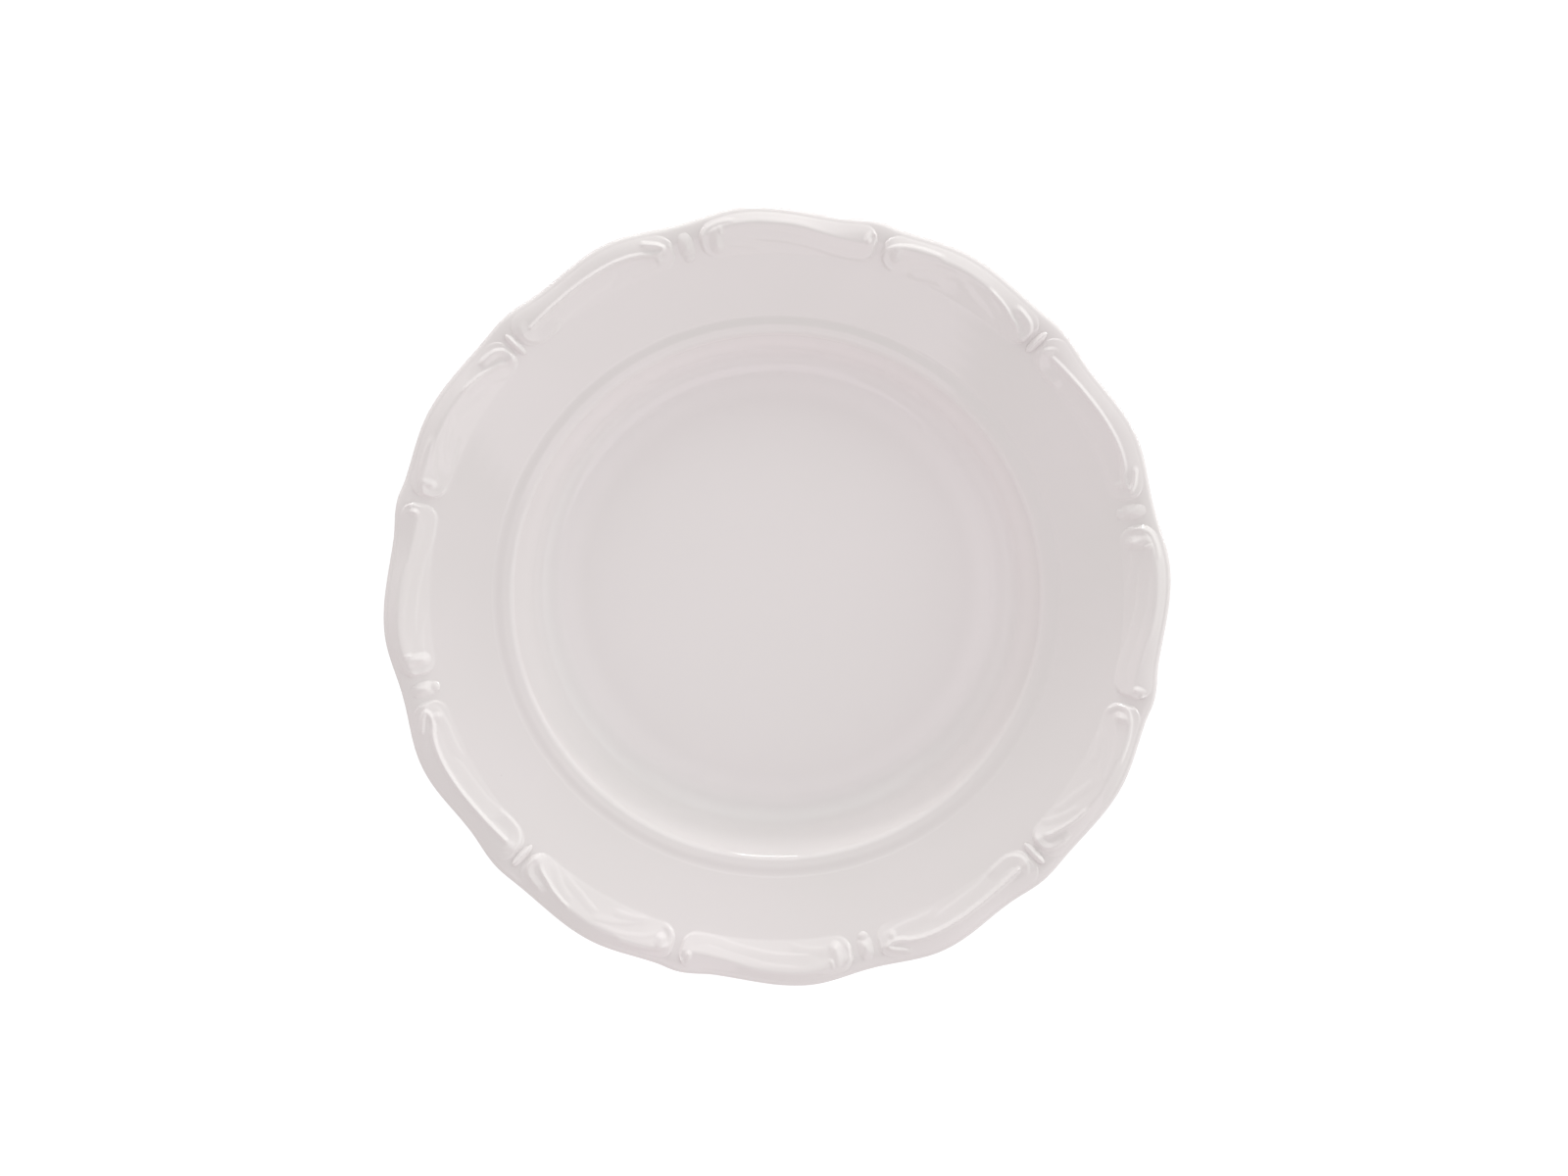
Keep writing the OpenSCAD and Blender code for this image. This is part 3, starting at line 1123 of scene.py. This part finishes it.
SCROLL_A = ScrollDesign(
    letter="a", start=-15.7, end=12.2,
    crest=(
        (-15.7, 0.5), (-12.6, 0.47), (-7.5, 0.53), (-4, 0.65), (0, 0.72), (5, 0.75), (9, 0.68),
        (12.2, 0.5),
    ),
    crest_h=1.25, inner_power=1.0,
    ridges=(
        Ridge(
            (
                (-14.2, 0.68), (-14.9, 0.6), (-15.0, 0.46), (-15.0, 0.3), (-14.4, 0.18),
                (-12.7, 0.11), (-10.7, 0.09), (-9.2, 0.12), (-7.7, 0.165), (-6.1, 0.21),
                (-4.1, 0.25), (-2.1, 0.3), (1.5, 0.355), (3.5, 0.37), (7, 0.38),
            ),
            height=0.14, taper=7.0, run_out=3.5,
        ),
        Ridge(
            (
                (-13.7, 0.4), (-12.6, 0.33), (-11.4, 0.3), (-9.8, 0.31), (-7.6, 0.35),
                (-5.2, 0.42), (-2.4, 0.52), (1.4, 0.6), (4.3, 0.65),
            ),
            height=0.07, half_width=1.3, taper=7.0, run_out=3.5,
        ),
        Ridge(
            ((1.3, 0.11), (2.5, 0.14), (3.7, 0.2), (5.5, 0.25), (7.5, 0.28), (9.2, 0.28)),
            height=0.11, taper=5.0, run_out=3.0,
        ),
        Ridge(
            ((11.0, 0.2), (11.5, 0.34), (11.5, 0.5), (10.8, 0.68), (9, 0.79), (6, 0.82)),
            height=0.25, half_width=0.9,
        ),
    ),
    knobs=(
        Knob((9.4, 0.3), 2.2, 1.15),
        Knob((8.6, 0.56), 1.0, 0.6),
        Knob((-14.0, 0.55), 1.2, 0.75),
        Knob((-14.95, 0.73), 1.1, 0.7),
    ),
)

SCROLL_B = ScrollDesign(
    letter="b", start=16.0, end=44.6,
    crest=(
        (16.0, 0.5), (18.5, 0.53), (21, 0.58), (25, 0.61), (30, 0.585), (35, 0.52), (40, 0.46),
        (44.5, 0.43),
    ),
    crest_h=0.95, inner_power=1.25,
    ridges=(
        Ridge(
            (
                (20.9, 0.78), (19.4, 0.69), (18.2, 0.6), (17.7, 0.52), (18.4, 0.455),
                (19.8, 0.46), (21.2, 0.53), (22.6, 0.575), (25, 0.605), (30, 0.58), (35, 0.515),
                (40, 0.455), (42.4, 0.43),
            ),
            height=0.62, half_width=0.95, taper=2.0, crisp=True,
        ),
        Ridge(
            (
                (17.3, 0.42), (17.8, 0.28), (19.2, 0.23), (21.4, 0.185), (23.6, 0.19),
                (26.1, 0.17), (27.5, 0.13),
            ),
            height=0.13, taper=5.0, run_out=3.0,
        ),
        Ridge(
            ((25.5, 0.36), (28.2, 0.28), (30.2, 0.25), (32.5, 0.215), (34.9, 0.19), (38, 0.11)),
            height=0.08, run_out=3.0,
        ),
        Ridge(
            (
                (36.6, 0.15), (39.2, 0.07), (41.1, 0.065), (42.6, 0.16), (43.3, 0.3),
                (43.3, 0.44), (42.7, 0.57), (41.6, 0.65),
            ),
            height=0.5, half_width=0.85, taper=5.0, crisp=True, run_out=3.0,
        ),
    ),
    knobs=(Knob((18.9, 0.3), 1.5, 0.55),),
)

SCROLL_C = ScrollDesign(
    letter="c", start=46.1, end=73.6,
    crest=(
        (46.1, 0.2), (47.9, 0.27), (49.3, 0.37), (50.7, 0.45), (52.6, 0.55), (54.5, 0.625),
        (58.4, 0.7), (61.3, 0.72), (64, 0.7), (67.9, 0.64), (73.6, 0.5),
    ),
    crest_h=1.2, inner_power=1.0,
    ridges=(
        Ridge(
            ((48.3, 0.28), (49.3, 0.375), (50.7, 0.45), (52.6, 0.55), (54.5, 0.62), (56.4, 0.67)),
            height=0.5, half_width=0.8, crisp=True,
        ),
        Ridge(
            (
                (47.8, 0.1), (47.3, 0.22), (47.0, 0.36), (47.2, 0.5), (47.9, 0.61), (49.3, 0.68),
                (51.5, 0.72),
            )[::-1],
            height=0.6, half_width=0.9, crisp=True, run_out=1.8,
        ),
        Ridge(
            ((49.4, 0.05), (50.6, 0.14), (52.2, 0.27), (53.8, 0.39), (56, 0.5)),
            height=0.11, run_out=2.0,
        ),
        Ridge(
            ((52.4, 0.11), (54.5, 0.2), (56.4, 0.26), (58.4, 0.36), (60.5, 0.44)),
            height=0.13, run_out=2.2,
        ),
        Ridge(
            ((68.8, 0.1), (67.6, 0.18), (65.5, 0.33), (62.8, 0.47), (59.5, 0.58)),
            height=0.08, run_out=2.0,
        ),
        Ridge(((62.3, 0.22), (64.5, 0.2), (66.2, 0.16), (68.5, 0.09)), height=0.13, run_out=2.5),
        Ridge(
            (
                (60.5, 0.64), (63.4, 0.63), (65.3, 0.59), (67.0, 0.53), (69.0, 0.43),
                (70.3, 0.31), (70.9, 0.22),
            ),
            height=0.07,
        ),
        Ridge(
            (
                (64.0, 0.77), (67.5, 0.74), (70.0, 0.68), (71.8, 0.58), (72.8, 0.44),
                (72.8, 0.28), (72.0, 0.13), (70.7, 0.06),
            )[::-1],
            height=0.36, half_width=0.9, run_out=1.8,
        ),
    ),
    knobs=(Knob((71.1, 0.385), 1.7, 0.9),),
)


@dataclass(frozen=True, kw_only=True)
class Ornament(ABC):
    """A low ornament on the border: a thin shell that is let into the bare rim.

    Its top lies a hair above the bare rim all round its edge, so that no seam shows.
    """

    form: PlateForm
    name: str
    hair: float = 0.004
    sink: float = 0.35
    soft_passes: int = 2

    @abstractmethod
    def faces(self) -> tuple[int, int]:
        """Number of faces along the grid and across it."""

    @abstractmethod
    def spread(self, along: Array, across: Array) -> Pair:
        """Takes two shares of the grid to a radius and an angle in degrees."""

    @abstractmethod
    def relief(self, radius: Array, angle: Array) -> Array:
        """Gives the height over the bare rim at each place of the grid."""

    def build(self) -> Piece:
        """Makes the ornament of the first quarter from a grid that is laid on the rim.

        Returns:
            The closed shell.
        """
        columns, rows = self.faces()
        deselect_all()
        bpy.ops.mesh.primitive_grid_add(x_subdivisions=columns, y_subdivisions=rows, size=1)
        piece = bpy.context.active_object
        piece.name = self.name
        bpy.ops.object.mode_set(mode="EDIT")
        bpy.ops.mesh.select_all(action="SELECT")
        bpy.ops.mesh.extrude_region_move(TRANSFORM_OT_translate={"value": (0, 0, -1)})
        bpy.ops.object.mode_set(mode="OBJECT")
        flat = coordinates(piece) * MM
        column = np.rint((flat[:, 0] + 0.5) * columns).astype(int)
        row = np.rint((flat[:, 1] + 0.5) * rows).astype(int)
        shares = (np.linspace(0, 1, count + 1) for count in (columns, rows))
        radius, angle = self.spread(*np.meshgrid(*shares, indexing="ij"))
        bare = self.form.top_z(radius, angle)
        top = bare + self.hair + soften(self.relief(radius, angle), self.soft_passes)
        height = np.where(flat[:, 2] > -0.5, top[column, row], bare[column, row] - self.sink)
        place_vertices(piece, wrap_round(radius[column, row], angle[column, row], height))
        weld(piece)
        return piece


@dataclass(frozen=True, kw_only=True)
class Scroll(Ornament):
    """A scroll: an island that rises to a crest, with ridges and knobs on it."""

    design: ScrollDesign
    unroll_r: float = 115.0
    ends_at: float = 0.45
    inner_margin: float = 0.2
    over_lip: float = 1.3
    end_round: float = 6.0
    end_dome: float = 6.0
    end_share: float = 0.45
    end_margin: float = 0.15
    end_fade: float = 1.3
    edge_fade: float = 1.3
    flank_fade: float = 0.7
    flank_bow: float = 0.35
    body_passes: int = 14
    overlap: float = 0.3
    knob_trail: float = 2.4
    knob_power: float = 1.15
    line_gap: float = 0.25
    line_samples: int = 8
    line_tip: float = 0.3
    crowding: float = 0.55
    column_gap: float = 0.2
    rows: int = 80

    def faces(self) -> tuple[int, int]:
        """Number of faces along the scroll and across it."""
        length = math.radians(self.design.end - self.design.start) * self.unroll_r
        return int(length / self.column_gap), self.rows

    def spread(self, along: Array, across: Array) -> Pair:
        """Lays the grid over the island.

        Args:
            along: Shares along the grid.
            across: Shares across it.

        Returns:
            The radius and the angle at each place.
        """
        start, end = self.design.start, self.design.end
        angle = start + (end - start) * crowd(along, self.crowding)
        inner, outer = self._sides(angle)
        return inner + (outer - inner) * across, angle

    def relief(self, radius: Array, angle: Array) -> Array:
        """Height of the scroll over the bare rim.

        Args:
            radius: Radii on the grid.
            angle: Angles on the grid, in degrees.

        Returns:
            The height at each place.
        """
        inner, outer = self._sides(angle)
        x, y = np.radians(angle) * self.unroll_r, radius - self.form.border_r
        lines = np.max([self._ridge_height(x, y, ridge) for ridge in self.design.ridges], axis=0)
        knobs = np.max([self._knob_height(x, y, knob) for knob in self.design.knobs], axis=0)
        carved = np.maximum(lines, knobs) + self.overlap * np.minimum(lines, knobs)
        total = self._body(y, angle) + carved
        total = total * ease((radius - inner) / self.edge_fade)
        total = total * ease((outer - radius) / self.flank_fade)
        return total * ease((self._end_run(angle) - self.end_margin) / self.end_fade)

    def _end_run(self, angle: Array) -> Array:
        """Length along the border from each angle to the scroll's nearer end."""
        run = np.minimum(angle - self.design.start, self.design.end - angle)
        return np.radians(run) * self.unroll_r

    def _sides(self, angle: Array) -> Pair:
        """Finds how wide the island is, which opens from a point at both of its ends.

        Args:
            angle: Angles in degrees.

        Returns:
            Its inner and its outer radius at each angle.
        """
        form = self.form
        middle = form.border_r + self.ends_at * form.border_w
        opened = quarter_round(np.clip(self._end_run(angle) / self.end_round, 0, 1))
        inner = form.border_r - self.inner_margin
        outer = form.edge_r(angle) - self.over_lip
        return middle + (inner - middle) * opened, middle + (outer - middle) * opened

    def _body(self, y: Array, angle: Array) -> Array:
        """Height of the island without its ridges and knobs.

        Args:
            y: Places across the border.
            angle: Angles in degrees.

        Returns:
            The height at each place.
        """
        form, design = self.form, self.design
        crest = smooth_table(angle, design.crest) * form.border_w
        flank_end = form.edge_r(angle) - self.over_lip - form.border_r
        rise = np.clip(y / crest, 0, 1)
        fall = np.clip((y - crest) / (flank_end - crest), 0, 1)
        inside = rise**design.inner_power * ease(y / self.edge_fade)
        outside = 1 - (1 + self.flank_bow) * fall + self.flank_bow * fall**2
        opened = quarter_round(np.clip(self._end_run(angle) / self.end_dome, 0, 1))
        dome = self.end_share + (1 - self.end_share) * opened
        flanks = soften(np.where(y < crest, inside, outside), self.body_passes)
        return design.crest_h * dome * flanks

    def _unroll(self, place: Point) -> Point:
        """A place of (angle, share of the border's width) on the unrolled border."""
        return (math.radians(place[0]) * self.unroll_r, place[1] * self.form.border_w)

    def _ridge_height(self, x: Array, y: Array, ridge: Ridge) -> Array:
        """Height of a ridge on the unrolled border.

        Args:
            x: Places along the border.
            y: Places across it.
            ridge: The ridge.

        Returns:
            Its height at each place.
        """
        corners = np.array([self._unroll(place) for place in ridge.line])
        steps = np.linalg.norm(np.diff(corners, axis=0), axis=1)
        run = np.concatenate([[0], np.cumsum(steps)])
        samples = np.linspace(0, run[-1], max(self.line_samples, int(run[-1] / self.line_gap)))
        line = np.stack(
            [smooth_table(samples, tuple(zip(run, corners[:, axis]))) for axis in (0, 1)], 1
        )
        course = np.gradient(line, axis=0)
        gap = np.full(x.shape, np.inf)
        at = np.zeros(x.shape)
        left = np.zeros(x.shape, dtype=bool)
        for (px, py), (dx, dy), sample in zip(line, course, samples):
            distance = np.hypot(x - px, y - py)
            nearer = distance < gap
            gap = np.where(nearer, distance, gap)
            at = np.where(nearer, sample, at)
            left = np.where(nearer, dx * (y - py) > dy * (x - px), left)
        fade = ease((np.minimum(at, run[-1] - at) + self.line_tip) / ridge.taper)
        share = gap / np.where(left & (ridge.run_out > 0), ridge.run_out, ridge.half_width)
        return ridge.height * fade * (tent(share) if ridge.crisp else bump(share))

    def _knob_height(self, x: Array, y: Array, knob: Knob) -> Array:
        """Height of a knob on the unrolled border, where it trails away outwards.

        Args:
            x: Places along the border.
            y: Places across it.
            knob: The knob.

        Returns:
            Its height at each place.
        """
        at_x, at_y = self._unroll(knob.place)
        outward = (y - at_y) / np.where(y > at_y, self.knob_trail, 1)
        return knob.height * tent(np.hypot(x - at_x, outward) / knob.radius) ** self.knob_power


@dataclass(frozen=True, kw_only=True)
class Oval(Ornament):
    """A small ornament on an oval footprint, its length along the radius.

    Its middle is at an angle and a share of the border's width. Places on it run from -1 to 1,
    lengthwise from its inner end to its outer end, and sidewise from side to side.
    """

    place: Point
    length: float
    width: float
    height: float
    crowding: float = 0.6
    column_gap: float = 0.16
    row_gap: float = 0.14

    @abstractmethod
    def profile(self, lengthwise: Array, sidewise: Array) -> Array:
        """Gives the share of the ornament's height at each place."""

    @property
    def middle(self) -> float:
        """Radius of its middle."""
        return self.form.border_r + self.place[1] * self.form.border_w

    def faces(self) -> tuple[int, int]:
        """Number of faces along the oval and across it."""
        return int(self.length / self.column_gap), int(self.width / self.row_gap)

    def spread(self, along: Array, across: Array) -> Pair:
        """Lays the grid over the oval.

        Args:
            along: Shares along the grid.
            across: Shares across it.

        Returns:
            The radius and the angle at each place.
        """
        lengthwise = 2 * crowd(along, self.crowding) - 1
        radius = self.middle + lengthwise * self.length / 2
        half = self.width / 2 * np.sqrt(np.clip(1 - lengthwise**2, 0, 1))
        return radius, self.place[0] - np.degrees((2 * across - 1) * half / radius)

    def relief(self, radius: Array, angle: Array) -> Array:
        """Height of the ornament over the bare rim.

        Args:
            radius: Radii on the grid.
            angle: Angles on the grid, in degrees.

        Returns:
            The height at each place.
        """
        lengthwise = (radius - self.middle) / (self.length / 2)
        sidewise = np.radians(angle - self.place[0]) * radius / (self.width / 2)
        return self.height * self.profile(lengthwise, sidewise)


@dataclass(frozen=True, kw_only=True)
class Petal(Oval):
    """A bud that narrows inwards over a neck to a small round tip."""

    name: str = "petal"
    place: Point = (14.2, 0.4)
    length: float = 9.6
    width: float = 5.0
    height: float = 1.35
    bud_at: float = -0.05
    bud_reach: Span = (0.5, 0.9)
    bud_side: float = 0.86
    bud_power: float = 3.0
    neck_h: float = 0.34
    neck_start: float = -0.95
    neck_rise: float = 0.2
    neck_side: float = 0.8
    neck_end: float = 0.3
    tip_h: float = 0.45
    tip_at: float = -0.7
    tip_reach: Span = (0.26, 0.62)
    tip_side: float = 0.66
    tip_power: float = 0.8

    def profile(self, lengthwise: Array, sidewise: Array) -> Array:
        """Share of the petal's height.

        Args:
            lengthwise: Places along it.
            sidewise: Places across it.

        Returns:
            The share at each place.
        """
        past_bud = lengthwise - self.bud_at
        reach = np.where(past_bud < 0, *self.bud_reach)
        power = self.bud_power
        square = np.abs(past_bud / reach) ** power + np.abs(sidewise / self.bud_side) ** power
        bud = tent(square ** (1 / power))
        neck = self.neck_h * ease((lengthwise - self.neck_start) / self.neck_rise)
        neck = neck * bump(sidewise / self.neck_side) * (past_bud < self.neck_end)
        past_tip = lengthwise - self.tip_at
        past_tip = past_tip / np.where(past_tip > 0, *self.tip_reach[::-1])
        tip = np.clip(1 - past_tip**2 - (sidewise / self.tip_side) ** 2, 0, 1)
        return np.max([bud, neck, self.tip_h * tip**self.tip_power], axis=0)


@dataclass(frozen=True, kw_only=True)
class SlimBead(Oval):
    """A slim bead with a ridge along its middle."""

    name: str = "slim_bead"
    place: Point = (45.25, 0.42)
    length: float = 8.6
    width: float = 2.7
    height: float = 1.3

    def profile(self, lengthwise: Array, sidewise: Array) -> Array:
        """Share of the bead's height."""
        return np.clip(1 - lengthwise**2, 0, 1) ** 0.5 * tent(np.abs(sidewise))


@dataclass
class ReliefBorder:
    """The relief on the border: twelve scrolls of three kinds, four petals and four slim beads."""

    form: PlateForm
    designs: tuple[ScrollDesign, ...] = (SCROLL_A, SCROLL_B, SCROLL_C)

    def build(self, glaze: Material) -> None:
        """Builds one ornament of each kind and turns copies of it to the other quarters.

        Args:
            glaze: Material of all the ornaments.
        """
        for design in self.designs:
            name = f"scroll_{design.letter}"
            self._repeat(Scroll(form=self.form, name=name, design=design), glaze)
        self._repeat(Petal(form=self.form), glaze)
        self._repeat(SlimBead(form=self.form), glaze)

    def _repeat(self, ornament: Ornament, glaze: Material) -> None:
        """Builds an ornament, copies it to the other quarters and finishes all four.

        Args:
            ornament: The ornament, with the name of its node without the number.
            glaze: Its material.
        """
        first = ornament.build()
        places = coordinates(first)
        for quarter in range(QUARTERS):
            piece = first
            if quarter:
                select_only(first)
                bpy.ops.object.duplicate(linked=False)
                piece = bpy.context.active_object
                turn = math.radians(QUARTER_TURN * quarter)
                spun = [[math.cos(turn), math.sin(turn)], [-math.sin(turn), math.cos(turn)]]
                flat = places[:, :2] @ np.array(spun)
                place_vertices(piece, np.column_stack([flat, places[:, 2]]))
            node = f"{ornament.name}_{quarter + 1}"
            piece.name = f"{node}_glazed"
            finish_piece(piece, node, glaze)


@dataclass(frozen=True)
class Softbox:
    """A soft rectangular lamp.

    Its direction is in degrees, and its distance and size are in metres.
    """

    name: str
    azimuth: float
    elevation: float
    distance: float
    width: float
    height: float
    brightness: float
    colour: Colour = (1.0, 1.0, 1.0)


@dataclass
class Studio:
    """Pale floor, soft light from all round, and the camera at the photograph's angle."""

    form: PlateForm
    low_strength: float = 0.97
    overhead_strength: float = 0.38
    overhead_span: Span = (0.45, 1.0)
    below_strength: float = 0.25
    below_span: Span = (-0.1, 0.0)
    right_gain: float = 0.82
    right_span: Span = (-0.2, 1.0)
    right_height: float = 0.6
    rosy: Colour = (1.01, 0.973, 0.965)
    greenish: Colour = (0.97, 1.005, 0.975)
    lens: float = 100.0
    sensor: float = 36.0
    tilt: float = 8.0
    frame_px: Point = (1600.0, 1200.0)
    plate_px: Point = (792.8, 614.4)
    radius_px: float = 400.4
    farthest: float = 20.0
    floor_size: float = 30.0
    floor_gap: float = 0.0001
    floor_grey: float = 0.3
    floor_glow: float = 0.83
    lamps: tuple[Softbox, ...] = (
        Softbox("near_lamp", 95, 45, 0.85, 1.0, 0.75, 0.52, (0.98, 0.99, 0.985)),
        Softbox("front_lamp", 285, 55, 0.85, 0.7, 0.45, 0.9, (1.06, 0.94, 1.02)),
        Softbox("back_lamp", 87, 5, 1.6, 0.45, 0.1, 48.0),
        Softbox("right_window", 24, 3, 1.6, 0.8, 0.14, 15.0),
        Softbox("left_window", 122, 3, 1.6, 1.1, 0.14, 9.0),
    )

    def build(self) -> None:
        """Builds the floor, the lights and the camera."""
        self._world()
        self._floor()
        for lamp in self.lamps:
            self._soft_lamp(lamp)
        self._camera()
        bpy.context.scene.view_settings.view_transform = "Standard"

    def _world(self) -> None:
        """Pale light from all round: dimmer overhead and below, and brighter low on the right."""
        world = bpy.data.worlds.new("studio_world")
        world.use_nodes = True
        tree = world.node_tree
        background = tree.nodes["Background"].inputs
        way = add_node(tree, "ShaderNodeTexCoord", "Generated")
        up = add_node(tree, "ShaderNodeSeparateXYZ", "Z", {"Vector": way})
        right, back = (up.node.outputs[axis] for axis in "XY")
        low = remap(tree, up, (0, self.right_height), (1, 0), Curve.EASED)
        gain = remap(tree, right, self.right_span, (0, self.right_gain), Curve.EASED)
        strengths = (self.low_strength, self.overhead_strength)
        overall = remap(tree, up, self.overhead_span, strengths, Curve.EASED)
        above = compute(tree, "MULTIPLY_ADD", low, gain, overall)
        horizon = remap(tree, up, self.below_span, (self.below_strength, 1), Curve.EASED)
        tree.links.new(compute(tree, "MULTIPLY", above, horizon), background["Strength"])
        toward = remap(tree, compute(tree, "ADD", right, back), (-1, 1), curve=Curve.EASED)
        tint = mix_colours(tree, toward, opaque(self.rosy), opaque(self.greenish))
        tree.links.new(tint, background["Color"])
        bpy.context.scene.world = world

    def _floor(self) -> None:
        """White floor, seen as white apart from the plate's soft shadow.

        It is clear from below and to light that the plate scatters, so that the underside shows.
        """
        deselect_all()
        bpy.ops.mesh.primitive_plane_add(size=self.floor_size, location=(0, 0, -self.floor_gap))
        floor = bpy.context.active_object
        floor.name = "studio_floor"
        material = bpy.data.materials.new("floor_white")
        material.use_nodes = True
        tree = material.node_tree
        tree.nodes.clear()
        output = tree.nodes.new("ShaderNodeOutputMaterial")
        grey = opaque((self.floor_grey,) * 3)
        faint = add_node(tree, "ShaderNodeBsdfDiffuse", "BSDF", {"Color": grey})
        feeds = {"Color": opaque((1, 1, 1)), "Strength": self.floor_glow}
        white = add_node(tree, "ShaderNodeEmission", "Emission", feeds)
        shown = add_node(tree, "ShaderNodeAddShader", "Shader", {0: faint, 1: white})
        ray = tree.nodes.new("ShaderNodeLightPath").outputs
        seen = compute(tree, "MAXIMUM", ray["Is Camera Ray"], ray["Is Glossy Ray"])
        seen = compute(tree, "MAXIMUM", seen, ray["Is Transmission Ray"])
        behind = add_node(tree, "ShaderNodeNewGeometry", "Backfacing")
        above = compute(tree, "SUBTRACT", seen, behind, use_clamp=True)
        clear = add_node(tree, "ShaderNodeBsdfTransparent", "BSDF")
        feeds = {"Fac": above, 1: clear, 2: shown}
        surface = add_node(tree, "ShaderNodeMixShader", "Shader", feeds)
        tree.links.new(surface, output.inputs["Surface"])
        floor.data.materials.append(material)

    def _soft_lamp(self, softbox: Softbox) -> None:
        """Adds a lamp that faces the plate.

        Args:
            softbox: Its direction, size and brightness.
        """
        turn, up = math.radians(softbox.azimuth), math.radians(softbox.elevation)
        level = softbox.distance * math.cos(up)
        place = (level * math.cos(turn), level * math.sin(turn), softbox.distance * math.sin(up))
        bpy.ops.object.light_add(type="AREA", location=place)
        lamp = bpy.context.active_object
        lamp.name = softbox.name
        lamp.rotation_euler = (math.pi / 2 - up, 0, turn + math.pi / 2)
        lamp.data.shape = "RECTANGLE"
        lamp.data.size, lamp.data.size_y = softbox.width, softbox.height
        lamp.data.color = softbox.colour
        lamp.data.energy = softbox.brightness * math.pi * softbox.width * softbox.height
        lamp.visible_camera = False

    def _camera(self) -> None:
        """Camera nearly overhead, leaning towards the top of the picture."""
        form = self.form
        scale = form.plate_r * MM / self.radius_px
        distance = scale * self.frame_px[0] * self.lens / self.sensor
        aim_x = (self.frame_px[0] / 2 - self.plate_px[0]) * scale
        aim_y = (self.plate_px[1] - self.frame_px[1] / 2) * scale
        lean = math.radians(self.tilt)
        rim_height = float(form.rim_z(form.plate_r)) * MM
        place = (aim_x, aim_y + distance * math.sin(lean), rim_height + distance * math.cos(lean))
        bpy.ops.object.camera_add(location=place, rotation=(-lean, 0, 0))
        camera = bpy.context.active_object
        camera.data.lens = self.lens
        camera.data.sensor_width = self.sensor
        camera.data.clip_end = self.farthest
        bpy.context.scene.camera = camera


def main() -> None:
    """Builds the studio and then the plate, zone by zone."""
    logging.basicConfig(level=logging.INFO, format="%(name)s: %(message)s")
    form = PlateForm()
    Studio(form).build()
    glaze = GlazeFinish().build("porcelain_glaze")
    biscuit = BiscuitFinish().build("porcelain_biscuit")
    Well(form).build(glaze)
    Shoulder(form).build(glaze)
    Rim(form).build(glaze)
    Foot(form).build(biscuit)
    ReliefBorder(form).build(glaze)


if __name__ == "__main__":
    main()
